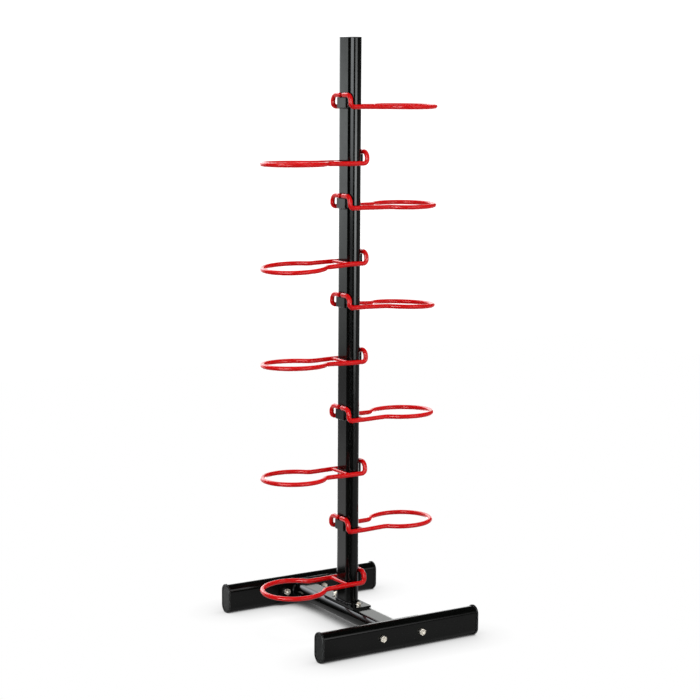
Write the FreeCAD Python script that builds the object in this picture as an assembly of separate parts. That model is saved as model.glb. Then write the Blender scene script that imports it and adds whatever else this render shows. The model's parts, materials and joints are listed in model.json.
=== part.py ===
"""A free-standing medicine ball rack: one post on an H-shaped base, with ten ring holders hung on lugs.

Frame: +X is outward along the right-hand holders and along the feet, +Y runs along the crossbar
to the rear foot, and +Z is up. The origin is on the floor, under the post's centre. Units are mm.
"""
import FreeCAD, Part
import math
import os
from FreeCAD import Placement, Rotation, Vector

# Driving dimensions
TUBE_WIDTH = 80.0
TUBE_THICKNESS = 40.0
TUBE_WALL = 2.0
RACK_HEIGHT = 1659.0
FOOT_LENGTH = 510.0
FOOT_SPACING = 535.0
CAP_THICKNESS = 6.0
CAP_RIM = 2.6
CAP_ROUND = 2.7
CAP_BORDER = 4.0
CAP_RECESS = 1.2
CAP_FLAT = 0.6
PLUG_LENGTH = 22.0
PLUG_WALL = 2.5
TOP_CAP_THICKNESS = 2.5
TOP_CAP_ROUND = 1.2

# Crossbar end plates and their M10 fasteners
END_PLATE_LENGTH = 170.0
END_PLATE_HEIGHT = 66.0
END_PLATE_THICKNESS = 6.0
END_PLATE_CORNER = 4.0
FOOT_BOLT_SPACING = 127.0
M10 = {
    "shank": 5.0, "across_flats": 17.0, "head": 6.4, "nut": 8.0,
    "washer": 10.0, "washer_t": 2.0, "end": 2.0, "corner_turn": 30.0,
}

# Post base plate and its M8 fasteners
BASE_PLATE_WIDTH = 60.0
BASE_PLATE_LENGTH = 162.0
BASE_PLATE_THICKNESS = 6.0
BASE_PLATE_CORNER = 2.5
PLATE_BOLT_SPACING = 124.0
M8 = {
    "shank": 4.0, "across_flats": 13.0, "head": 5.3, "nut": 6.8,
    "washer": 8.0, "washer_t": 1.6, "end": 2.5, "corner_turn": 0.0,
}

# Fastener details. Above, shank and washer are radii, and corner_turn is in degrees.
# FACE_TO_FLATS and CHAMFER_SLOPE are ratios.
HOLE_CLEARANCE = 0.5
THREAD_CLEARANCE = 0.05
THREAD_CHAMFER = 1.0
WASHER_CHAMFER = 0.4
FACE_TO_FLATS = 0.95
CHAMFER_SLOPE = 0.55
OVERSHOOT = 5.0

# Welds
WELD_LEG = 5.0
WELD_TOE = 0.5

# Lugs welded to the post's flat faces
LUG_WIDTH = 45.0
LUG_HEIGHT = 28.0
LUG_THICKNESS = 9.0
LUG_ROUND = 1.0
LUG_WELD = 3.5

# Bent rod holders
ROD_RADIUS = 6.5
CROSS_ROD_RADIUS = 5.0
ARM_HALF_SPACING = 47.0
HOOK_OFFSET = 27.0
HOOK_RISE = 32.0
UPPER_HOOK_BEND = 18.0
LOWER_HOOK_BEND = 11.0
TIP_GAP = 12.0
TIP_ROUND = 3.5
RING_RADIUS = 88.0
RING_CENTRE = 177.0
NECK_BEND = 24.0
NECK_STRAIGHT = 12.0
EASY_BEND = 110.0
REST_GAP = 0.3
STRAIGHT_TURN = 0.001

# Levels of the arms: two spacings near the top, where the balls are smaller, and two wider ones below
LOWEST_LEVEL = 281.0
WIDE_SPACING = 318.5
CLOSE_SPACING = 276.0
LEFT_SIDE_DROP = 154.0

# How far each ring droops outward, and leans sideways, in degrees, from top to bottom
RIGHT_DROOP = (-0.4, -0.5, 2.1, -0.2, -1.0)
RIGHT_LEAN = (1.0, 1.0, -1.0, -1.7, -1.0)
LEFT_DROOP = (0.1, 3.0, -0.1, 0.3, 1.1)
LEFT_LEAN = (0.5, -1.6, 2.0, 1.0, -0.5)

X = Vector(1, 0, 0)
Y = Vector(0, 1, 0)
Z = Vector(0, 0, 1)
TUBE_RADIUS = TUBE_THICKNESS / 2
TUBE_LEVEL = TUBE_WIDTH / 2 + CAP_RIM - CAP_FLAT
FOOT_Y = FOOT_SPACING / 2
FOOT_FACE = FOOT_Y - TUBE_RADIUS
CROSSBAR_END = FOOT_FACE - END_PLATE_THICKNESS
CROSSBAR_TOP = TUBE_LEVEL + TUBE_RADIUS
PLATE_TOP = CROSSBAR_TOP + BASE_PLATE_THICKNESS
BORE_WIDTH = TUBE_WIDTH - 2 * TUBE_WALL
BORE_THICKNESS = TUBE_THICKNESS - 2 * TUBE_WALL
TOLERANCE = 0.05
CROSS_ROD_X = TUBE_RADIUS + CROSS_ROD_RADIUS + REST_GAP


def save(name, shape):
    """Write one node."""
    shape.exportStep("parts/" + name + ".step")


def flat_oval_wire(width, thickness):
    """The outline of a flat-oval section, with its width along local X."""
    half = (width - thickness) / 2
    radius = thickness / 2
    corners = [
        Vector(-half, -radius, 0),
        Vector(half, -radius, 0),
        Vector(half, radius, 0),
        Vector(-half, radius, 0),
    ]
    right = Part.Arc(corners[1], Vector(half + radius, 0, 0), corners[2]).toShape()
    left = Part.Arc(corners[3], Vector(-half - radius, 0, 0), corners[0]).toShape()
    bottom = Part.makeLine(corners[0], corners[1])
    top = Part.makeLine(corners[2], corners[3])
    return Part.Wire([bottom, right, top, left])


def turned(along_width, along_length, start):
    """The placement that lays local X along the section's width and local Z along the bar."""
    rotation = Rotation(along_width, along_length.cross(along_width), along_length, "ZXY")
    return Placement(start, rotation)


def flat_oval_bar(width, thickness, length, start, along_width, along_length):
    """A solid flat-oval bar."""
    bar = Part.Face(flat_oval_wire(width, thickness)).extrude(Vector(0, 0, length))
    bar.Placement = turned(along_width, along_length, start)
    return bar


def flat_oval_tube(length, start, along_width, along_length):
    """A length of the rack's one tube section."""
    outer = flat_oval_bar(TUBE_WIDTH, TUBE_THICKNESS, length, start, along_width, along_length)
    return outer.cut(flat_oval_bar(BORE_WIDTH, BORE_THICKNESS, length, start, along_width, along_length))


def plug(start, along_width, along_length):
    """The hollow part of a plastic cap that fills the tube's bore, open at its inner end."""
    block = flat_oval_bar(BORE_WIDTH, BORE_THICKNESS, PLUG_LENGTH, start, along_width, along_length)
    width = BORE_WIDTH - 2 * PLUG_WALL
    thickness = BORE_THICKNESS - 2 * PLUG_WALL
    hollow_start = start + along_length
    return block.cut(flat_oval_bar(width, thickness, PLUG_LENGTH, hollow_start, along_width, along_length))


def edges_at(shape, axis, value):
    """The edges of a shape whose ends all lie at one coordinate along an axis."""
    return [e for e in shape.Edges if all(abs(v.Point.dot(axis) - value) < TOLERANCE for v in e.Vertexes)]


def hole(radius, length, start, along):
    """The cylinder that a round hole removes."""
    return Part.makeCylinder(radius, length, start, along)


def foot_tube(side):
    """One foot: a flat-oval tube on edge, drilled through for the crossbar's bolts."""
    length = FOOT_LENGTH - 2 * CAP_THICKNESS
    tube = flat_oval_tube(length, Vector(-length / 2, side * FOOT_Y, TUBE_LEVEL), Z, X)
    for x in (-FOOT_BOLT_SPACING / 2, FOOT_BOLT_SPACING / 2):
        start = Vector(x, side * FOOT_Y - TUBE_THICKNESS, TUBE_LEVEL)
        tube = tube.cut(hole(M10["shank"] + HOLE_CLEARANCE, 2 * TUBE_THICKNESS, start, Y))
    return tube


def foot_cap(end, side):
    """A plastic end cap: a rounded rim proud of the tube, a recessed face, a plug and a flat underside."""
    tube_end = Vector(end * (FOOT_LENGTH / 2 - CAP_THICKNESS), side * FOOT_Y, TUBE_LEVEL)
    outward = Vector(end, 0, 0)
    width = TUBE_WIDTH + 2 * CAP_RIM
    thickness = TUBE_THICKNESS + 2 * CAP_RIM
    rim = flat_oval_bar(width, thickness, CAP_THICKNESS, tube_end, Z, outward)
    rim = rim.makeFillet(CAP_ROUND, edges_at(rim, X, end * FOOT_LENGTH / 2))
    face_start = tube_end + outward * (CAP_THICKNESS - CAP_RECESS)
    face_width = TUBE_WIDTH - 2 * CAP_BORDER
    face_thickness = TUBE_THICKNESS - 2 * CAP_BORDER
    rim = rim.cut(flat_oval_bar(face_width, face_thickness, CAP_THICKNESS, face_start, Z, outward))
    cap = rim.fuse(plug(tube_end, Z, -outward))
    below_floor = Part.makeBox(TUBE_WIDTH, TUBE_WIDTH, TUBE_WIDTH)
    below_floor.translate(Vector(tube_end.x - TUBE_WIDTH / 2, tube_end.y - TUBE_WIDTH / 2, -TUBE_WIDTH))
    return cap.cut(below_floor).removeSplitter()


def crossbar_tube():
    """The crossbar: the same tube lying flat, drilled top and bottom for the post's bolts."""
    start = Vector(0, -CROSSBAR_END, TUBE_LEVEL)
    tube = flat_oval_tube(2 * CROSSBAR_END, start, X, Y)
    for y in (-PLATE_BOLT_SPACING / 2, PLATE_BOLT_SPACING / 2):
        tube = tube.cut(hole(M8["shank"] + HOLE_CLEARANCE, 2 * TUBE_THICKNESS, Vector(0, y, 0), Z))
    return tube


def rounded_plate(size_x, size_y, thickness, corner):
    """A flat plate with rounded corners, centred on the origin, its underside at zero."""
    plate = Part.makeBox(size_x, size_y, thickness, Vector(-size_x / 2, -size_y / 2, 0))
    uprights = [e for e in plate.Edges if abs(e.Vertexes[0].Z - e.Vertexes[1].Z) > thickness / 2]
    return plate.makeFillet(corner, uprights)


def crossbar_end_plate(side):
    """The plate welded to one end of the crossbar, which bolts to a foot."""
    plate = rounded_plate(END_PLATE_LENGTH, END_PLATE_HEIGHT, END_PLATE_THICKNESS, END_PLATE_CORNER)
    drill = END_PLATE_THICKNESS + 2 * OVERSHOOT
    for x in (-FOOT_BOLT_SPACING / 2, FOOT_BOLT_SPACING / 2):
        plate = plate.cut(hole(M10["shank"] + HOLE_CLEARANCE, drill, Vector(x, 0, -OVERSHOOT), Z))
    plate.Placement = Placement(Vector(0, side * CROSSBAR_END, TUBE_LEVEL), Rotation(X, -side * 90))
    return plate


def post_base_plate():
    """The plate welded under the post, which bolts down to the crossbar."""
    plate = rounded_plate(BASE_PLATE_WIDTH, BASE_PLATE_LENGTH, BASE_PLATE_THICKNESS, BASE_PLATE_CORNER)
    drill = BASE_PLATE_THICKNESS + 2 * OVERSHOOT
    for y in (-PLATE_BOLT_SPACING / 2, PLATE_BOLT_SPACING / 2):
        plate = plate.cut(hole(M8["shank"] + HOLE_CLEARANCE, drill, Vector(0, y, -OVERSHOOT), Z))
    plate.translate(Vector(0, 0, CROSSBAR_TOP))
    return plate


def post_tube():
    """The upright post, its section's width along the crossbar."""
    return flat_oval_tube(RACK_HEIGHT - TOP_CAP_THICKNESS - PLATE_TOP, Vector(0, 0, PLATE_TOP), Y, Z)


def post_top_cap():
    """The plastic cap that closes the post's top."""
    top = Vector(0, 0, RACK_HEIGHT - TOP_CAP_THICKNESS)
    lid = flat_oval_bar(TUBE_WIDTH, TUBE_THICKNESS, TOP_CAP_THICKNESS, top, Y, Z)
    lid = lid.makeFillet(TOP_CAP_ROUND, edges_at(lid, Z, RACK_HEIGHT))
    return lid.fuse(plug(top, Y, -Z)).removeSplitter()


def weld_collar(start, along_width, along_length):
    """A sloping fillet weld all round a tube's end."""
    wide = flat_oval_wire(TUBE_WIDTH + 2 * WELD_LEG, TUBE_THICKNESS + 2 * WELD_LEG)
    narrow = flat_oval_wire(TUBE_WIDTH + 2 * WELD_TOE, TUBE_THICKNESS + 2 * WELD_TOE)
    narrow.translate(Vector(0, 0, WELD_LEG))
    collar = Part.makeLoft([wide, narrow], True, True)
    collar = collar.cut(flat_oval_bar(TUBE_WIDTH, TUBE_THICKNESS, 2 * WELD_LEG, Vector(0, 0, 0), X, Z))
    collar.Placement = turned(along_width, along_length, start)
    return collar


def hexagon(size, height, chamfered_ends):
    """A hexagonal prism on local Z with its corners turned off at the top, or at both ends."""
    across_flats = size["across_flats"]
    corner = across_flats / math.sqrt(3)
    first = size["corner_turn"]
    points = [Rotation(Z, first + 60 * i).multVec(Vector(corner, 0, 0)) for i in range(7)]
    prism = Part.Face(Part.makePolygon(points)).extrude(Vector(0, 0, height))
    face = across_flats / 2 * FACE_TO_FLATS
    wide = face + height / CHAMFER_SLOPE
    prism = prism.common(Part.makeCone(wide, face, height))
    if chamfered_ends == 2:
        prism = prism.common(Part.makeCone(face, wide, height))
    return prism


def bolt(size, grip):
    """A hex bolt with its head's seat at local zero and its shank along +Z through the grip and the nut."""
    head = hexagon(size, size["head"], 1)
    head.rotate(Vector(0, 0, 0), X, 180)
    length = grip + size["nut"] + size["end"]
    shank = Part.makeCylinder(size["shank"], length)
    return head.fuse(shank.makeChamfer(THREAD_CHAMFER, edges_at(shank, Z, length)))


def washer(size):
    """A plain washer on local Z."""
    disc = Part.makeCylinder(size["washer"], size["washer_t"])
    rims = [e for e in disc.Edges if len(e.Vertexes) == 1]
    disc = disc.makeChamfer(WASHER_CHAMFER, rims)
    return disc.cut(hole(size["shank"] + HOLE_CLEARANCE / 2, 2 * OVERSHOOT, Vector(0, 0, -OVERSHOOT), Z))


def nut(size):
    """A hex nut on local Z."""
    block = hexagon(size, size["nut"], 2)
    bore = size["nut"] + 2 * OVERSHOOT
    return block.cut(hole(size["shank"] + THREAD_CLEARANCE, bore, Vector(0, 0, -OVERSHOOT), Z))


def bolted_stack(size, plates, start, along, nut_washer):
    """A bolt, its nut and its washers, through plates of the given total thickness."""
    washer_offsets = [0]
    grip = plates + size["washer_t"]
    if nut_washer:
        washer_offsets.append(grip)
        grip += size["washer_t"]
    placement = turned(X, along, start - along * size["washer_t"])

    def placed(piece, offset):
        piece.translate(Vector(0, 0, offset))
        piece.Placement = placement.multiply(piece.Placement)
        return piece

    washers = [placed(washer(size), offset) for offset in washer_offsets]
    return placed(bolt(size, grip), 0), washers, placed(nut(size), grip)


def save_fasteners():
    """The four bolts that hold the feet, and the two up through the crossbar that hold the post."""
    foot = []
    for side in (-1, 1):
        for x in (-FOOT_BOLT_SPACING / 2, FOOT_BOLT_SPACING / 2):
            start = Vector(x, side * (FOOT_Y + TUBE_RADIUS), TUBE_LEVEL)
            foot.append(bolted_stack(M10, TUBE_THICKNESS + END_PLATE_THICKNESS, start, Y * -side, True))
    post = []
    for y in (-PLATE_BOLT_SPACING / 2, PLATE_BOLT_SPACING / 2):
        start = Vector(0, y, TUBE_LEVEL - TUBE_RADIUS)
        post.append(bolted_stack(M8, TUBE_THICKNESS + BASE_PLATE_THICKNESS, start, Z, False))
    for name, stacks in (("foot", foot), ("post", post)):
        save(name + "_bolts", Part.makeCompound([bolt_piece for bolt_piece, washers, nut_piece in stacks]))
        save(name + "_bolt_washers", Part.makeCompound([w for stack in stacks for w in stack[1]]))
        save(name + "_bolt_nuts", Part.makeCompound([nut_piece for bolt_piece, washers, nut_piece in stacks]))


def lug_top(level):
    """The height of a lug's top, just under the hook tips of the holder at a level."""
    return level + HOOK_RISE - ROD_RADIUS - REST_GAP


def lug(side, level):
    """The square block that a holder's hook tips rest on, on the face away from the ring."""
    near = TUBE_RADIUS if side < 0 else -TUBE_RADIUS - LUG_THICKNESS
    corner = Vector(near, -LUG_WIDTH / 2, lug_top(level) - LUG_HEIGHT)
    block = Part.makeBox(LUG_THICKNESS, LUG_WIDTH, LUG_HEIGHT, corner)
    return block.makeFillet(LUG_ROUND, block.Edges)


def lug_weld(side, level):
    """The weld bead along one lug's bottom and up both its sides."""
    bottom = lug_top(level) - LUG_HEIGHT
    face = -side * TUBE_RADIUS
    bead = Part.makeCylinder(LUG_WELD, LUG_WIDTH, Vector(face, -LUG_WIDTH / 2, bottom), Y)
    for y in (-LUG_WIDTH / 2, LUG_WIDTH / 2):
        corner = Vector(face, y, bottom)
        bead = bead.fuse(Part.makeSphere(LUG_WELD, corner))
        bead = bead.fuse(Part.makeCylinder(LUG_WELD, LUG_HEIGHT - LUG_WELD, corner, Z))
    start = Vector(0, 0, bottom - LUG_HEIGHT / 2)
    post = flat_oval_bar(TUBE_WIDTH, TUBE_THICKNESS, 2 * LUG_HEIGHT, start, Y, Z)
    return bead.cut(post).cut(lug(side, level))


def rounded_run(points, radii):
    """Straight edges through the points, with a tangent arc of the given radius at each inner one."""
    edges = []
    start = points[0]
    for before, corner, after, radius in zip(points, points[1:], points[2:], radii):
        arriving = (corner - before).normalize()
        leaving = (after - corner).normalize()
        turn = arriving.getAngle(leaving)
        if turn < STRAIGHT_TURN:
            continue
        setback = radius * math.tan(turn / 2)
        arc_start = corner - arriving * setback
        arc_end = corner + leaving * setback
        inward = (leaving - arriving).normalize()
        middle = corner + inward * (radius / math.cos(turn / 2) - radius)
        edges.append(Part.makeLine(start, arc_start))
        edges.append(Part.Arc(arc_start, middle, arc_end).toShape())
        start = arc_end
    edges.append(Part.makeLine(start, points[-1]))
    return edges


def ring_plane_point(x, y, droop, lean):
    """A point of the ring's own plane, drooped and leaned about the middle of the cross rod."""
    arm = Vector(x - CROSS_ROD_X, y, 0)
    leaned = Rotation(X, lean).multVec(arm)
    drooped = Rotation(Y, droop).multVec(leaned)
    return drooped + Vector(CROSS_ROD_X, 0, 0)


def holder_wire(droop, lean):
    """The centreline of one right-hand holder, from one hook tip round the ring to the other."""
    centre_reach = RING_RADIUS + NECK_BEND
    bend_y = ARM_HALF_SPACING + NECK_BEND
    bend_x = RING_CENTRE - math.sqrt(centre_reach**2 - bend_y**2)
    share = RING_RADIUS / centre_reach
    join_x = RING_CENTRE - (RING_CENTRE - bend_x) * share
    join_y = bend_y * share
    middle_angle = (math.atan2(join_y - bend_y, join_x - bend_x) - math.pi / 2) / 2
    middle_x = bend_x + NECK_BEND * math.cos(middle_angle)
    middle_y = bend_y + NECK_BEND * math.sin(middle_angle)

    def place(x, y):
        return ring_plane_point(x, y, droop, lean)

    def arm(side):
        arm_y = side * ARM_HALF_SPACING
        points = [
            Vector(-HOOK_OFFSET, side * TIP_GAP / 2, HOOK_RISE),
            Vector(-HOOK_OFFSET, arm_y, HOOK_RISE),
            Vector(-HOOK_OFFSET, arm_y, 0),
            Vector(CROSS_ROD_X, arm_y, 0),
            place(bend_x - NECK_STRAIGHT, arm_y),
            place(bend_x, arm_y),
        ]
        return rounded_run(points, (UPPER_HOOK_BEND, LOWER_HOOK_BEND, EASY_BEND, EASY_BEND))

    def neck(side):
        start = place(bend_x, side * ARM_HALF_SPACING)
        middle = place(middle_x, side * middle_y)
        return Part.Arc(start, middle, place(join_x, side * join_y)).toShape()

    far_point = place(RING_CENTRE + RING_RADIUS, 0)
    ring = Part.Arc(place(join_x, join_y), far_point, place(join_x, -join_y)).toShape()
    edges = arm(1) + [neck(1), ring, neck(-1)] + arm(-1)
    return Part.Wire(Part.__sortEdges__(edges))


def holder_rod(droop, lean):
    """One bent rod with rounded tips, for the right-hand side, with its arms at level zero."""
    path = holder_wire(droop, lean)
    start = Vector(-HOOK_OFFSET, TIP_GAP / 2, HOOK_RISE)
    section = Part.Wire(Part.Circle(start, Y, ROD_RADIUS).toShape())
    rod = path.makePipeShell([section], True, False)
    tips = edges_at(rod, Y, TIP_GAP / 2) + edges_at(rod, Y, -TIP_GAP / 2)
    rims = [e for e in tips if e.BoundBox.YLength < TOLERANCE]
    return rod.makeFillet(TIP_ROUND, rims)


def cross_rod(rod):
    """The short rod welded between the arms, with its ends coped to fit them."""
    start = Vector(CROSS_ROD_X, -ARM_HALF_SPACING, 0)
    blank = Part.makeCylinder(CROSS_ROD_RADIUS, 2 * ARM_HALF_SPACING, start, Y)
    pieces = blank.cut(rod).Solids
    return max(pieces, key=lambda piece: piece.Volume)


def save_holder(name, side, level, droop, lean):
    """One holder and its cross rod, hung at its level on its side of the post."""
    rod = holder_rod(droop, lean)
    bar = cross_rod(rod)
    placement = Placement(Vector(0, 0, level), Rotation(Z, 0 if side > 0 else 180))
    for shape in (rod, bar):
        shape.Placement = placement.multiply(shape.Placement)
    save("holder_" + name, rod)
    save("cross_rod_" + name, bar)


def right_levels():
    """The right-hand arms' levels, from the top down."""
    levels = [LOWEST_LEVEL]
    for spacing in (WIDE_SPACING, WIDE_SPACING, CLOSE_SPACING, CLOSE_SPACING):
        levels.append(levels[-1] + spacing)
    return levels[::-1]


def main():
    os.makedirs("parts", exist_ok=True)
    for side, place in ((-1, "front"), (1, "rear")):
        save("foot_" + place, foot_tube(side))
        save("crossbar_end_plate_" + place, crossbar_end_plate(side))
        for end, hand in ((-1, "left"), (1, "right")):
            save("foot_cap_" + place + "_" + hand, foot_cap(end, side))
    save("crossbar", crossbar_tube())
    save("post_base_plate", post_base_plate())
    save("post", post_tube())
    save("post_top_cap", post_top_cap())
    save("post_weld", weld_collar(Vector(0, 0, PLATE_TOP), Y, Z))
    crossbar_welds = [
        weld_collar(Vector(0, -CROSSBAR_END, TUBE_LEVEL), X, Y),
        weld_collar(Vector(0, CROSSBAR_END, TUBE_LEVEL), X, -Y),
    ]
    save("crossbar_welds", Part.makeCompound(crossbar_welds))
    save_fasteners()
    lug_welds = []
    for side, hand, drop, droops, leans in (
        (1, "right", 0.0, RIGHT_DROOP, RIGHT_LEAN),
        (-1, "left", LEFT_SIDE_DROP, LEFT_DROOP, LEFT_LEAN),
    ):
        for number, (level, droop, lean) in enumerate(zip(right_levels(), droops, leans), start=1):
            name = hand + "_" + str(number)
            save("lug_" + name, lug(side, level - drop))
            lug_welds.append(lug_weld(side, level - drop))
            save_holder(name, side, level - drop, droop, lean)
    save("lug_welds", Part.makeCompound(lug_welds))


main()
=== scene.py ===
"""Studio picture of a medicine ball rack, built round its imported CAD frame. Units are metres."""

import json
import math
import random

import bpy
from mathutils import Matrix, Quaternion, Vector

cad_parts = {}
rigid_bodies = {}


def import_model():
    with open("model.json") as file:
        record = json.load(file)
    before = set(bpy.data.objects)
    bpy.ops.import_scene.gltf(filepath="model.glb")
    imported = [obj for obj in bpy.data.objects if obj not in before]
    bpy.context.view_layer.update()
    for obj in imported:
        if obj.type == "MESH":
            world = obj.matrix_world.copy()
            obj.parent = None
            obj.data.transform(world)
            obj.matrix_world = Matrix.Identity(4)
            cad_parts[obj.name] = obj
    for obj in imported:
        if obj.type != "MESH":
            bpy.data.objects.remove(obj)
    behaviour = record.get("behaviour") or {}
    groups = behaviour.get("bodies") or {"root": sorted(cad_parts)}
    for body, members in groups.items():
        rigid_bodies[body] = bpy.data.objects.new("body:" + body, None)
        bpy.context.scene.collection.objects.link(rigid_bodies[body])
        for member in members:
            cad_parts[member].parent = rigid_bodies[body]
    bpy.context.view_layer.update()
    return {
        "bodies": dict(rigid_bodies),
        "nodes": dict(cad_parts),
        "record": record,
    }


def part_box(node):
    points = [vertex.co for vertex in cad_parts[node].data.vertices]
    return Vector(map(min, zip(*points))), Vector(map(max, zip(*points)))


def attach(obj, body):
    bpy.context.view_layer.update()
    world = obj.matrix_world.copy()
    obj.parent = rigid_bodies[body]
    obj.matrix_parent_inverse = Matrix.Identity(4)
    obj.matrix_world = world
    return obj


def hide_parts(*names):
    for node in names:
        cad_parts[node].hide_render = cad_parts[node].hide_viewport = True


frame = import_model()
nodes = frame["nodes"]


# ---------------------------------------------------------------- materials

# Where most of a noise texture's values lie, and where a blend of two tones starts and ends
NOISE_RANGE = (0.3, 0.7)
TONE_RANGE = (0.35, 0.65)

# Noise scales, in features a metre
COAT_TONE_SCALE = 9
COAT_GLOSS_SCALE = 40
PEEL_SCALE = 520
WAVE_SCALE = 130
PLASTIC_TONE_SCALE = 14
PLASTIC_GLOSS_SCALE = 60
GRAIN_SCALE = 1400
ZINC_TONE_SCALE = 160
ZINC_GLOSS_SCALE = 300
TOOL_MARK_SCALE = 900
OXIDE_TONE_SCALE = 200
OXIDE_GLOSS_SCALE = 500

# Heights of the textures, in metres
PEEL_HEIGHT = 0.0002
WAVE_HEIGHT = 0.0004
GRAIN_HEIGHT = 0.00012
TOOL_MARK_HEIGHT = 0.00005

# The coats: how strong the long waves are beside the peel, and how far the roughness drifts either way
WAVE_SHARE = 0.5
COAT_DRIFT = 0.12


def new_material(name):
    """An empty node material and its Principled shader."""
    material = bpy.data.materials.new(name)
    material.use_nodes = True
    shader = material.node_tree.nodes["Principled BSDF"]
    return material, material.node_tree, shader


def noise(tree, scale, detail=2.0):
    """A noise texture on the object's own coordinates."""
    place = tree.nodes.new("ShaderNodeTexCoord")
    texture = tree.nodes.new("ShaderNodeTexNoise")
    texture.inputs["Scale"].default_value = scale
    texture.inputs["Detail"].default_value = detail
    tree.links.new(place.outputs["Object"], texture.inputs["Vector"])
    return texture.outputs["Fac"]


def spread(tree, value, low, high):
    """Maps a noise value to low..high."""
    ramp = tree.nodes.new("ShaderNodeMapRange")
    ramp.inputs["From Min"].default_value = NOISE_RANGE[0]
    ramp.inputs["From Max"].default_value = NOISE_RANGE[1]
    ramp.inputs["To Min"].default_value = low
    ramp.inputs["To Max"].default_value = high
    tree.links.new(value, ramp.inputs["Value"])
    return ramp.outputs["Result"]


def bump(tree, height, distance, strength, under=None):
    """A bump node on a height, over another one if given."""
    node = tree.nodes.new("ShaderNodeBump")
    node.inputs["Distance"].default_value = distance
    node.inputs["Strength"].default_value = strength
    tree.links.new(height, node.inputs["Height"])
    if under is not None:
        tree.links.new(under, node.inputs["Normal"])
    return node.outputs["Normal"]


def two_tones(tree, value, dark, light):
    """A colour that drifts between two near tones."""
    ramp = tree.nodes.new("ShaderNodeValToRGB")
    for element, position, tone in zip(ramp.color_ramp.elements, TONE_RANGE, (dark, light)):
        element.position = position
        element.color = (*tone, 1)
    tree.links.new(value, ramp.inputs["Fac"])
    return ramp.outputs["Color"]


def powder_coat(name, dark, light, roughness, texture, gloss):
    """Sprayed and baked powder: a fine orange peel, and gloss that drifts a little."""
    material, tree, shader = new_material(name)
    tone = two_tones(tree, noise(tree, COAT_TONE_SCALE), dark, light)
    tree.links.new(tone, shader.inputs["Base Color"])
    smoothest, roughest = roughness * (1 - COAT_DRIFT), roughness * (1 + COAT_DRIFT)
    drift = spread(tree, noise(tree, COAT_GLOSS_SCALE, 4), smoothest, roughest)
    tree.links.new(drift, shader.inputs["Roughness"])
    peel = bump(tree, noise(tree, PEEL_SCALE, 3), PEEL_HEIGHT, texture)
    waves = bump(tree, noise(tree, WAVE_SCALE), WAVE_HEIGHT, texture * WAVE_SHARE, peel)
    tree.links.new(waves, shader.inputs["Normal"])
    shader.inputs["Specular IOR Level"].default_value = gloss
    return material


def moulded_plastic():
    """The end caps: matt black with a fine spark-eroded grain."""
    material, tree, shader = new_material("moulded_plastic")
    blend = noise(tree, PLASTIC_TONE_SCALE)
    tone = two_tones(tree, blend, (0.006, 0.0065, 0.006), (0.009, 0.0095, 0.009))
    tree.links.new(tone, shader.inputs["Base Color"])
    drift = spread(tree, noise(tree, PLASTIC_GLOSS_SCALE, 3), 0.52, 0.64)
    tree.links.new(drift, shader.inputs["Roughness"])
    tree.links.new(bump(tree, noise(tree, GRAIN_SCALE), GRAIN_HEIGHT, 0.5), shader.inputs["Normal"])
    return material


def zinc():
    """Zinc plate with a faint warm passivation, cloudy gloss and fine tool marks."""
    material, tree, shader = new_material("zinc")
    tone = two_tones(tree, noise(tree, ZINC_TONE_SCALE, 3), (0.91, 0.85, 0.735), (0.97, 0.915, 0.80))
    tree.links.new(tone, shader.inputs["Base Color"])
    tree.links.new(spread(tree, noise(tree, ZINC_GLOSS_SCALE, 3), 0.34, 0.48), shader.inputs["Roughness"])
    marks = bump(tree, noise(tree, TOOL_MARK_SCALE, 3), TOOL_MARK_HEIGHT, 0.2)
    tree.links.new(marks, shader.inputs["Normal"])
    shader.inputs["Metallic"].default_value = 0.85
    return material


def black_oxide():
    """Washers: thin black finish on pressed steel."""
    material, tree, shader = new_material("black_oxide")
    tone = two_tones(tree, noise(tree, OXIDE_TONE_SCALE, 3), (0.006, 0.006, 0.006), (0.012, 0.012, 0.012))
    tree.links.new(tone, shader.inputs["Base Color"])
    tree.links.new(spread(tree, noise(tree, OXIDE_GLOSS_SCALE, 3), 0.3, 0.45), shader.inputs["Roughness"])
    shader.inputs["Specular IOR Level"].default_value = 0.4
    return material


looks = {
    "black_powder_coat": powder_coat(
        "black_powder_coat_look", (0.0012, 0.0014, 0.0012), (0.0019, 0.0022, 0.0019),
        roughness=0.13, texture=0.01, gloss=0.25,
    ),
    "red_powder_coat": powder_coat(
        "red_powder_coat_look", (0.61, 0.0012, 0.0022), (0.67, 0.0020, 0.0034),
        roughness=0.21, texture=0.01, gloss=0.34,
    ),
    "black_plastic": moulded_plastic(),
    "zinc_plate": zinc(),
    "black_washer": black_oxide(),
}
slot_of = {part["node"]: part["material_slot"] for part in frame["record"]["subparts"]}
for name, obj in nodes.items():
    for slot in obj.material_slots:
        slot.material = looks[slot_of[name]]


# ---------------------------------------------------------------- details

ALONG_X = Vector((1, 0, 0))
ALONG_Y = Vector((0, 1, 0))
UPWARD = Vector((0, 0, 1))
ROD_RADIUS = 0.0065
SHARP_ANGLE = math.radians(32)

# Bolts. The M10 length is the foot, the end plate, two washers, the nut and a thread or two
FOOT_BOLT_SPACING = 0.127
PLATE_BOLT_SPACING = 0.124
M10_RADIUS = 0.005
M10_PITCH = 0.0015
M10_LENGTH = 0.060
M10_PLAIN = 0.034
M8_RADIUS = 0.004
M8_PITCH = 0.00125
M8_THREAD = 0.022
ROUND_POINTS = 96

# Rows of points in each pitch of a thread, and its depth over the pitch
THREAD_ROWS = 6
THREAD_DEPTH = 0.55
# A head's corner cone: its slope, and its end face over the flats. Then the dish in that face: its rim and
# its floor over the face, and its level over the head's height
HEAD_SLOPE = 0.55
FACE_TO_FLATS = 0.95
DISH_RIM = 0.72
DISH_FLOOR = 0.62
DISH_LEVEL = 0.95

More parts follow.
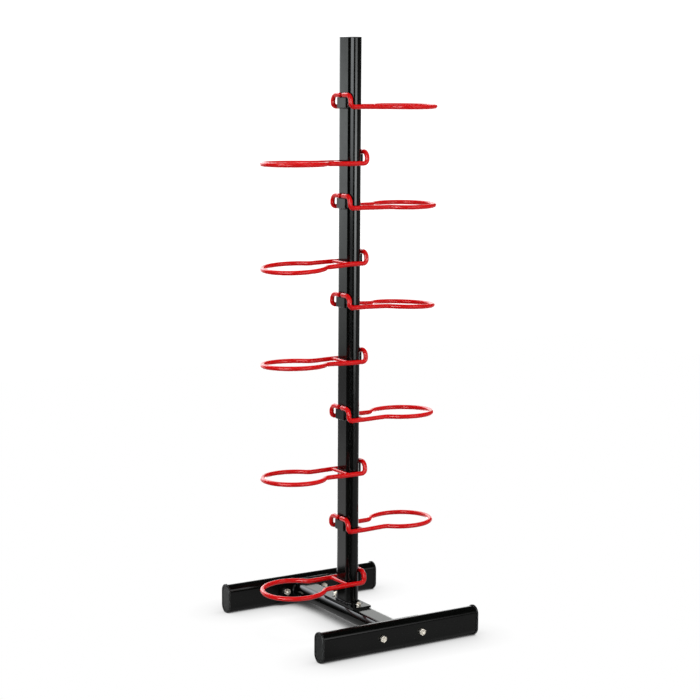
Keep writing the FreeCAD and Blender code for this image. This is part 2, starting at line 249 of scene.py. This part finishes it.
# Weld beads: radius of the bead and pitch of its ripples
POST_BEAD = (0.0046, 0.0058)
CROSSBAR_BEAD = (0.0038, 0.0032)
LUG_BEAD = (0.0031, 0.0026)
CROSS_ROD_BEAD = (0.0013, 0.0022)
RING_POINTS = 10
BEAD_STEP = 0.0005
COPE_POINTS = 40
LUG_BEAD_STOP = 0.002
POST_BEAD_SEED = 3

# Shares of a bead's radius: its ripples' depth, its fullness, its wander and the thickness of an open end
EVEN_RIPPLES = 0.16
ROUGH_RIPPLES = 0.34
FULLNESS = 1.04
WANDER = 0.06
END_THICKNESS = 0.35

# How far a crescent bows, in ripples, and the slow waves that its size wanders by, in turns a ripple
CRESCENT = 0.45
WANDER_RATES = (0.12, 0.3)
WANDER_WAVES = 3

# Weld spatter: how many drops, their distance from the plate's edge, the band of Y they keep to beside the
# post's ends, the half width that counts as beside them, and the drops' radii
SPATTER_SEED = 11
SPATTER_DROPS = 90
SPATTER_MARGIN = 0.002
SPATTER_NEAR_POST = (0.045, 0.052)
SPATTER_POST_HALF = 0.026
SPATTER_RADII = (0.0005, 0.0015)
# A drop's rings, as height and radius over the drop's own radius
DROP_RINGS = ((-0.2, 1.0), (0.25, 0.95), (0.55, 0.7), (0.75, 0.3))


def new_piece(name, vertices, faces, slot, body, *replaced):
    """A smooth mesh in one finish, riding on a body and standing for any nodes given."""
    mesh = bpy.data.meshes.new(name)
    mesh.from_pydata(vertices, [], faces)
    mesh.polygons.foreach_set("use_smooth", [True] * len(faces))
    mesh.set_sharp_from_angle(angle=SHARP_ANGLE)
    mesh.materials.append(looks[slot])
    mesh.update()
    piece = bpy.data.objects.new(name, mesh)
    bpy.context.collection.objects.link(piece)
    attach(piece, body)
    if replaced:
        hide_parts(*replaced)


def joined(meshes):
    """Several (vertices, faces) lists as one."""
    vertices, faces = [], []
    for points, corners in meshes:
        start = len(vertices)
        vertices.extend(points)
        faces.extend([tuple(start + index for index in face) for face in corners])
    return vertices, faces


def tube_faces(rings, closed):
    """Quads between rings of RING_POINTS points each, with the ends capped unless the tube is closed."""
    faces = []
    for ring in range(rings if closed else rings - 1):
        near = ring * RING_POINTS
        far = (ring + 1) % rings * RING_POINTS
        for point in range(RING_POINTS):
            after = (point + 1) % RING_POINTS
            faces.append((near + point, near + after, far + after, far + point))
    if not closed:
        last = (rings - 1) * RING_POINTS
        faces.append(tuple(range(RING_POINTS))[::-1])
        faces.append(tuple(last + point for point in range(RING_POINTS)))
    return faces


def evenly_spaced(points, closed):
    """Points every BEAD_STEP along a path."""
    corners = points + points[:1] if closed else points
    lengths = [(b - a).length for a, b in zip(corners, corners[1:])]
    count = max(int(sum(lengths) / BEAD_STEP), RING_POINTS)
    spacing = sum(lengths) / (count if closed else count - 1)
    result, leg, passed = [], 0, 0.0
    for index in range(count):
        reach = index * spacing
        while leg < len(lengths) - 1 and reach > passed + lengths[leg]:
            passed += lengths[leg]
            leg += 1
        share = min((reach - passed) / lengths[leg], 1.0)
        result.append(corners[leg].lerp(corners[leg + 1], share))
    return result


def weld_bead(points, plane, bead, closed, seed, ripples=EVEN_RIPPLES):
    """A bead along a flat path: overlapping crescents, a slowly wandering size and tapered open ends."""
    radius, pitch = bead
    draw = random.Random(seed)
    waves = [(draw.uniform(*WANDER_RATES), draw.uniform(0, math.tau)) for _ in range(WANDER_WAVES)]
    path = evenly_spaced(points, closed)
    last = len(path) - 1
    vertices = []
    for index, point in enumerate(path):
        before = path[index - 1] if index or closed else point
        after = path[(index + 1) % len(path)] if index < last or closed else point
        along = (after - before).normalized()
        outward = along.cross(plane).normalized()
        reach = index * BEAD_STEP
        wander = sum(math.sin(reach / pitch * rate * math.tau + phase) for rate, phase in waves)
        size = radius * (1 + WANDER * wander)
        if not closed:
            size *= min(1.0, END_THICKNESS + min(index, last - index) * BEAD_STEP / (2 * radius))
        for step in range(RING_POINTS):
            angle = math.tau * step / RING_POINTS
            ripple = abs(math.sin(math.pi * (reach / pitch + CRESCENT * math.cos(angle - math.pi / 4))))
            swell = size * (FULLNESS - ripples + ripples * ripple)
            vertices.append(point + outward * swell * math.cos(angle) + plane * swell * math.sin(angle))
    return vertices, tube_faces(len(path), closed)


def flat_oval_path(centre, half_width, half_thickness, across, up):
    """Points round a flat-oval outline, its straight sides along the first direction."""
    straight = half_width - half_thickness
    points = []
    for step in range(ROUND_POINTS):
        angle = math.tau * step / ROUND_POINTS
        sideways = math.copysign(straight, math.cos(angle)) + half_thickness * math.cos(angle)
        points.append(centre + across * sideways + up * half_thickness * math.sin(angle))
    return points


def post_weld():
    """The rough bead round the post's foot."""
    low, high = map(Vector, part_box("post"))
    path = flat_oval_path(UPWARD * low.z, high.y, high.x, ALONG_Y, ALONG_X)
    vertices, faces = weld_bead(path, UPWARD, POST_BEAD, True, POST_BEAD_SEED, ROUGH_RIPPLES)
    new_piece("post_weld_bead", vertices, faces, "black_powder_coat", "frame", "post_weld")


def crossbar_welds():
    """The beads round both ends of the crossbar."""
    low, high = map(Vector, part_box("crossbar"))
    beads = []
    for seed, y in enumerate((low.y, high.y)):
        centre = Vector((0, y, (low.z + high.z) / 2))
        path = flat_oval_path(centre, high.x, (high.z - low.z) / 2, ALONG_X, UPWARD)
        beads.append(weld_bead(path, ALONG_Y, CROSSBAR_BEAD, True, seed))
    vertices, faces = joined(beads)
    new_piece("crossbar_weld_beads", vertices, faces, "black_powder_coat", "frame", "crossbar_welds")


def lug_welds():
    """A bead up both sides and along the bottom of every lug, where it meets the post."""
    beads = []
    for name in sorted(nodes):
        if not name.startswith("lug_") or name == "lug_welds":
            continue
        low, high = map(Vector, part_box(name))
        face = low.x if low.x > 0 else high.x
        top = high.z - LUG_BEAD_STOP
        path = [
            Vector((face, low.y, top)),
            Vector((face, low.y, low.z)),
            Vector((face, high.y, low.z)),
            Vector((face, high.y, top)),
        ]
        beads.append(weld_bead(path, ALONG_X, LUG_BEAD, False, name))
    vertices, faces = joined(beads)
    new_piece("lug_weld_beads", vertices, faces, "black_powder_coat", "frame", "lug_welds")


def cross_rod_welds(name):
    """A small bead round each end of one cross rod, where it is coped onto the arms."""
    low, high = map(Vector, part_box("cross_rod_" + name))
    radius = (high.x - low.x) / 2
    middle = (low + high) / 2
    arm_y = high.y + math.sqrt(ROD_RADIUS**2 - radius**2)
    beads = []
    for seed, side in enumerate((-1, 1)):
        path = []
        for step in range(COPE_POINTS):
            angle = math.tau * step / COPE_POINTS
            reach = arm_y - math.sqrt(ROD_RADIUS**2 - (radius * math.sin(angle))**2)
            x = middle.x + radius * math.cos(angle)
            path.append(Vector((x, side * reach, middle.z + radius * math.sin(angle))))
        beads.append(weld_bead(path, ALONG_Y, CROSS_ROD_BEAD, True, seed))
    vertices, faces = joined(beads)
    new_piece("cross_rod_welds_" + name, vertices, faces, "red_powder_coat", "holder_" + name)


def spatter():
    """Small beads of weld spatter on the base plate round the post's foot, under the paint."""
    draw = random.Random(SPATTER_SEED)
    low, high = map(Vector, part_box("post_base_plate"))
    nearest, farthest = SPATTER_NEAR_POST
    drops = []
    for _ in range(SPATTER_DROPS):
        side = draw.choice((-1, 1))
        x = draw.uniform(low.x + SPATTER_MARGIN, high.x - SPATTER_MARGIN)
        if abs(x) < SPATTER_POST_HALF:
            y = side * draw.uniform(nearest, farthest)
        else:
            y = draw.uniform(-nearest, nearest)
        radius = draw.uniform(*SPATTER_RADII)
        vertices = []
        for height, share in DROP_RINGS:
            for step in range(RING_POINTS):
                angle = math.tau * step / RING_POINTS
                offset = Vector((math.cos(angle) * share, math.sin(angle) * share, height)) * radius
                vertices.append(Vector((x, y, high.z)) + offset)
        drops.append((vertices, tube_faces(len(DROP_RINGS), False)))
    vertices, faces = joined(drops)
    new_piece("weld_spatter", vertices, faces, "black_powder_coat", "frame")


def ring_stack(rings):
    """A closed surface through rings of ROUND_POINTS points each."""
    vertices = [point for ring in rings for point in ring]
    faces = []
    for ring in range(len(rings) - 1):
        near = ring * ROUND_POINTS
        far = near + ROUND_POINTS
        for point in range(ROUND_POINTS):
            after = (point + 1) % ROUND_POINTS
            faces.append((near + point, near + after, far + after, far + point))
    faces.append(tuple(range(ROUND_POINTS))[::-1])
    faces.append(tuple(len(vertices) - ROUND_POINTS + point for point in range(ROUND_POINTS)))
    return vertices, faces


def round_ring(radius_at, height_at):
    """One ring of points whose radius and height are functions of the angle."""
    ring = []
    for step in range(ROUND_POINTS):
        angle = math.tau * step / ROUND_POINTS
        radius = radius_at(angle)
        ring.append(Vector((radius * math.cos(angle), radius * math.sin(angle), height_at(angle, radius))))
    return ring


def hex_head(flats, height):
    """A hexagon head below local zero, its free end turned to a cone and lightly dished."""
    def hex_radius(angle):
        return flats / 2 / math.cos((angle + math.pi / 6) % (math.pi / 3) - math.pi / 6)

    face = flats / 2 * FACE_TO_FLATS
    rings = [
        round_ring(hex_radius, lambda angle, radius: 0.0),
        round_ring(hex_radius, lambda angle, radius: -height + max(radius - face, 0) * HEAD_SLOPE),
        round_ring(lambda angle: face, lambda angle, radius: -height),
        round_ring(lambda angle: face * DISH_RIM, lambda angle, radius: -height),
        round_ring(lambda angle: face * DISH_FLOOR, lambda angle, radius: -height * DISH_LEVEL),
    ]
    return ring_stack(rings)


def threaded_shank(radius, pitch, thread_start, length):
    """A shank from local zero, plain at first and then a V thread with a coned end."""
    depth = pitch * THREAD_DEPTH
    rings = [round_ring(lambda angle: radius, lambda angle, r: 0.0)]
    rows = int((length - thread_start) / pitch * THREAD_ROWS)
    for row in range(rows + 1):
        height = thread_start + (length - thread_start) * row / rows

        def groove(angle):
            turn = (height / pitch - angle / math.tau) % 1.0
            cone = radius - depth + (length - height)
            return min(radius - depth * abs(2 * turn - 1), cone)

        rings.append(round_ring(groove, lambda angle, r: height))
    return ring_stack(rings)


def hex_bolt(flats, head, radius, pitch, thread_start, length, seat, along):
    """A whole bolt with its head's seat at a point and its shank along a direction."""
    turn = UPWARD.rotation_difference(along)
    shank = threaded_shank(radius, pitch, thread_start, length)
    vertices, faces = joined([hex_head(flats, head), shank])
    return [turn @ vertex + seat for vertex in vertices], faces


def foot_bolts():
    """The four M10 bolts through the feet, a corner of each head pointing up."""
    low, high = map(Vector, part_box("foot_bolts"))
    seat_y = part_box("foot_bolt_washers")[1][1]
    flats = (high.x - low.x) - FOOT_BOLT_SPACING
    head = high.y - seat_y
    bolts = []
    for side in (-1, 1):
        for x in (-FOOT_BOLT_SPACING / 2, FOOT_BOLT_SPACING / 2):
            seat = Vector((x, side * seat_y, (low.z + high.z) / 2))
            along = ALONG_Y * -side
            bolts.append(hex_bolt(flats, head, M10_RADIUS, M10_PITCH, M10_PLAIN, M10_LENGTH, seat, along))
    vertices, faces = joined(bolts)
    new_piece("foot_bolts_threaded", vertices, faces, "zinc_plate", "frame", "foot_bolts")


def post_bolts():
    """The two M8 bolts up through the crossbar and the base plate."""
    low, high = map(Vector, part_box("post_bolts"))
    seat_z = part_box("post_bolt_washers")[0][2]
    flats = (high.y - low.y) - PLATE_BOLT_SPACING
    head = seat_z - low.z
    length = high.z - seat_z
    bolts = []
    for y in (-PLATE_BOLT_SPACING / 2, PLATE_BOLT_SPACING / 2):
        seat = Vector((0, y, seat_z))
        bolt = hex_bolt(flats, head, M8_RADIUS, M8_PITCH, length - M8_THREAD, length, seat, UPWARD)
        bolts.append(bolt)
    vertices, faces = joined(bolts)
    new_piece("post_bolts_threaded", vertices, faces, "zinc_plate", "frame", "post_bolts")


post_weld()
crossbar_welds()
lug_welds()
spatter()
foot_bolts()
post_bolts()
for body in sorted(frame["bodies"]):
    if body.startswith("holder_"):
        cross_rod_welds(body.removeprefix("holder_"))


# ---------------------------------------------------------------- studio

FLOOR_SIZE = 9.0
SHADOW_REACH = 0.12
SHADOW_SAMPLES = 16
# Painted floor shade by openness: nearly even beside the feet, and dark only underneath things
SHADOW_TONES = ((0.0, 0.0), (0.2, 0.06), (0.27, 0.2), (0.42, 0.52), (0.6, 0.76), (0.8, 0.86), (1.0, 1.0))
# How bright the floor looks in reflections, by distance along Y: light and shade painted into its glow
REFLECTED_FLOOR = ((-1.0, 0.5), (0.25, 0.5), (0.5, 1.15), (1.65, 0.9), (2.8, 0.57), (3.5, 0.45))
# The studio's dark side, towards -X: how far out the floor's painted glow dims, and how much of that +Y
# makes up for
DARK_SIDE = ((0.0, 1.0), (0.12, 1.0), (0.45, 0.12), (1.0, 0.1))
DARK_SIDE_SLOPE = 0.6
FLOOR_FILL = 0.5
WORLD_FILL = 1.22
WORLD_SEEN = 1.2

# Studio boxes as reflections see them: azimuth and elevation of the middle, width and height, softness of
# the upright and of the level edges (all in degrees, azimuth from +X towards +Y), radiance and colour
STUDIO_BOXES = (
    (207.5, 13.8, 45.0, 32.0, 3.0, 3.0, 10.0, (0.94, 0.98, 1.0)),
    (274.0, -3.0, 33.0, 7.0, 3.0, 5.0, 14.0, (0.96, 1.0, 1.0)),
    (287.0, 21.0, 32.0, 22.0, 4.0, 4.0, 3.0, (1.0, 1.0, 1.0)),
    (64.0, 10.0, 40.0, 31.0, 3.0, 3.0, 1.6, (0.98, 1.0, 0.98)),
    (91.0, 32.0, 34.0, 40.0, 16.0, 16.0, 5.5, (0.93, 0.96, 1.0)),
    (103.0, -1.5, 40.0, 8.0, 1.2, 5.0, 2.5, (0.95, 1.0, 1.0)),
    (103.0, -13.0, 40.0, 30.0, 1.2, 3.0, 0.5, (0.97, 1.0, 0.98)),
    (-20.0, -20.0, 90.0, 40.0, 6.0, 3.0, 0.35, (1.0, 1.0, 1.0)),
    (60.0, -15.0, 50.0, 26.0, 5.0, 4.0, 2.6, (1.0, 1.0, 1.0)),
)
# The same lit side of the studio, painted into the floor's glow as a reflection, and how it grows with
# distance from the post
LIT_SIDE = (60.0, 0.0, 50.0, 26.0, 5.0, 4.0, 2.6, (1.0, 1.0, 1.0))
LIT_DISTANCE = ((0.0, 0.0), (0.45, 0.0), (0.9, 1.0), (2.0, 1.0))
STUDIO_DARK = 0.02


def math_node(tree, operation, first, second=None):
    """One Math node; each input is a number or a link."""
    node = tree.nodes.new("ShaderNodeMath")
    node.operation = operation
    for socket, value in zip(node.inputs, (first, second)):
        if isinstance(value, (int, float)):
            socket.default_value = value
        elif value is not None:
            tree.links.new(value, socket)
    return node.outputs["Value"]


def tone_ramp(tree, value, tones):
    """A number read off a curve of straight pieces through (value, result) points."""
    low, high = tones[0][0], tones[-1][0]
    share = math_node(tree, "DIVIDE", math_node(tree, "SUBTRACT", value, low), high - low)
    ramp = tree.nodes.new("ShaderNodeValToRGB")
    scale = max(result for place, result in tones)
    elements = ramp.color_ramp.elements
    while len(elements) < len(tones):
        elements.new(0.5)
    for element, (place, result) in zip(elements, tones):
        element.position = (place - low) / (high - low)
        element.color = (result / scale, result / scale, result / scale, 1)
    tree.links.new(share, ramp.inputs["Fac"])
    return math_node(tree, "MULTIPLY", ramp.outputs["Color"], scale)


def by_ray(tree, glossy, diffuse, seen):
    """A value for reflections, another for diffuse light, and another for the camera."""
    path = tree.nodes.new("ShaderNodeLightPath")
    chosen = glossy
    for kind, value in (("Is Diffuse Ray", diffuse), ("Is Camera Ray", seen)):
        switch = tree.nodes.new("ShaderNodeMix")
        switch.data_type = "RGBA"
        tree.links.new(path.outputs[kind], switch.inputs["Factor"])
        tree.links.new(chosen, switch.inputs["A"])
        if isinstance(value, float):
            switch.inputs["B"].default_value = (value, value, value, 1)
        else:
            tree.links.new(value, switch.inputs["B"])
        chosen = switch.outputs["Result"]
    return chosen


def floor_reflections(tree, shade):
    """The floor's glow as reflections see it, with its painted dark side and lit side."""
    position = tree.nodes.new("ShaderNodeTexCoord").outputs["Object"]
    split = tree.nodes.new("ShaderNodeSeparateXYZ")
    tree.links.new(position, split.inputs["Vector"])
    along = tone_ramp(tree, split.outputs["Y"], REFLECTED_FLOOR)
    rearward = math_node(tree, "MAXIMUM", split.outputs["Y"], 0.0)
    behind = math_node(tree, "MULTIPLY", rearward, DARK_SIDE_SLOPE)
    leftward = math_node(tree, "SUBTRACT", math_node(tree, "MULTIPLY", split.outputs["X"], -1.0), behind)
    dimmed = math_node(tree, "MULTIPLY", along, tone_ramp(tree, leftward, DARK_SIDE))
    distance = tree.nodes.new("ShaderNodeVectorMath")
    distance.operation = "LENGTH"
    tree.links.new(position, distance.inputs[0])
    growth = tone_ramp(tree, distance.outputs["Value"], LIT_DISTANCE)
    lit = math_node(tree, "MULTIPLY", studio_box(tree, position, *LIT_SIDE), growth)
    return math_node(tree, "ADD", math_node(tree, "MULTIPLY", dimmed, shade), lit)


def floor():
    """A glowing white floor: its soft contact shadows are painted from an ambient occlusion node, and it
    gives off an even light.
    """
    bpy.ops.mesh.primitive_plane_add(size=FLOOR_SIZE, location=(0, 0, 0))
    plane = bpy.context.object
    plane.name = "studio_floor"
    material = bpy.data.materials.new("studio_floor_look")
    material.use_nodes = True
    tree = material.node_tree
    tree.nodes.clear()
    openness = tree.nodes.new("ShaderNodeAmbientOcclusion")
    openness.inputs["Distance"].default_value = SHADOW_REACH
    openness.samples = SHADOW_SAMPLES
    # Painted shade: the floor's own glow darkened where it is closed in, standing in for contact shadows
    shade = tone_ramp(tree, openness.outputs["AO"], SHADOW_TONES)
    diffuse = math_node(tree, "MULTIPLY", shade, FLOOR_FILL)
    glow = tree.nodes.new("ShaderNodeEmission")
    colour = by_ray(tree, floor_reflections(tree, shade), diffuse, shade)
    tree.links.new(colour, glow.inputs["Color"])
    output = tree.nodes.new("ShaderNodeOutputMaterial")
    tree.links.new(glow.outputs["Emission"], output.inputs["Surface"])
    plane.data.materials.append(material)


def inside(tree, value, half, softness):
    """1 where a value is within half of zero, fading to 0 over the softness either side of that."""
    size = math_node(tree, "ABSOLUTE", value)
    fade = tree.nodes.new("ShaderNodeMapRange")
    fade.interpolation_type = "SMOOTHSTEP"
    fade.inputs["From Min"].default_value = half + softness
    fade.inputs["From Max"].default_value = half - softness
    tree.links.new(size, fade.inputs["Value"])
    return fade.outputs["Result"]


def studio_box(
    tree, direction, azimuth, elevation, width, height, side_softness, end_softness, radiance, colour
):
    """One soft-edged bright rectangle of the studio, in its place round the object."""
    turn = tree.nodes.new("ShaderNodeVectorRotate")
    turn.rotation_type = "Z_AXIS"
    turn.inputs["Angle"].default_value = -math.radians(azimuth)
    tree.links.new(direction, turn.inputs["Vector"])
    split = tree.nodes.new("ShaderNodeSeparateXYZ")
    tree.links.new(turn.outputs["Vector"], split.inputs["Vector"])
    across = math_node(tree, "ARCTAN2", split.outputs["Y"], split.outputs["X"])
    height_angle = math_node(tree, "ARCSINE", split.outputs["Z"])
    up = math_node(tree, "SUBTRACT", height_angle, math.radians(elevation))
    window = math_node(
        tree, "MULTIPLY",
        inside(tree, across, math.radians(width / 2), math.radians(side_softness)),
        inside(tree, up, math.radians(height / 2), math.radians(end_softness)),
    )
    tint = tree.nodes.new("ShaderNodeVectorMath")
    tint.operation = "SCALE"
    tint.inputs[0].default_value = [radiance * part for part in colour]
    tree.links.new(window, tint.inputs["Scale"])
    return tint.outputs["Vector"]


def studio_world():
    """White to the camera, soft boxes in a dark studio to reflections, and an even diffuse light."""
    world = bpy.data.worlds.new("studio")
    bpy.context.scene.world = world
    world.use_nodes = True
    world.cycles.sampling_method = "NONE"
    tree = world.node_tree
    place = tree.nodes.new("ShaderNodeTexCoord")
    total = None
    for box in STUDIO_BOXES:
        glow = studio_box(tree, place.outputs["Generated"], *box)
        add = tree.nodes.new("ShaderNodeVectorMath")
        if total is None:
            add.inputs[1].default_value = (STUDIO_DARK, STUDIO_DARK, STUDIO_DARK)
        else:
            tree.links.new(total, add.inputs[1])
        tree.links.new(glow, add.inputs[0])
        total = add.outputs["Vector"]
    chosen = by_ray(tree, total, WORLD_FILL, WORLD_SEEN)
    tree.links.new(chosen, tree.nodes["Background"].inputs["Color"])


CAMERA_AZIMUTH = math.radians(31.6)
CAMERA_PITCH = math.radians(8.45)
CAMERA_ROLL = math.radians(0.33)
CAMERA_DISTANCE = 4.915
CAMERA_HEIGHT = 1.523
FOCAL_PIXELS = 1768.7
SENSOR_MM = 36.0
FRAME_PIXELS = 700
SHIFT_PIXELS = 1.25


def camera():
    """The viewpoint: almost as high as the rack's top, looking a little down from its left."""
    data = bpy.data.cameras.new("camera")
    data.sensor_width = SENSOR_MM
    data.lens = SENSOR_MM * FOCAL_PIXELS / FRAME_PIXELS
    data.shift_x = SHIFT_PIXELS / FRAME_PIXELS
    obj = bpy.data.objects.new("camera", data)
    bpy.context.collection.objects.link(obj)
    ahead = Vector((math.sin(CAMERA_AZIMUTH), math.cos(CAMERA_AZIMUTH), 0))
    obj.location = -CAMERA_DISTANCE * ahead + Vector((0, 0, CAMERA_HEIGHT))
    forward = ahead * math.cos(CAMERA_PITCH) - Vector((0, 0, math.sin(CAMERA_PITCH)))
    obj.rotation_mode = "QUATERNION"
    level = forward.to_track_quat("-Z", "Y")
    obj.rotation_quaternion = level @ Quaternion((0, 0, 1), CAMERA_ROLL)
    bpy.context.scene.camera = obj


floor()
studio_world()
camera()
bpy.context.scene.view_settings.view_transform = "Standard"
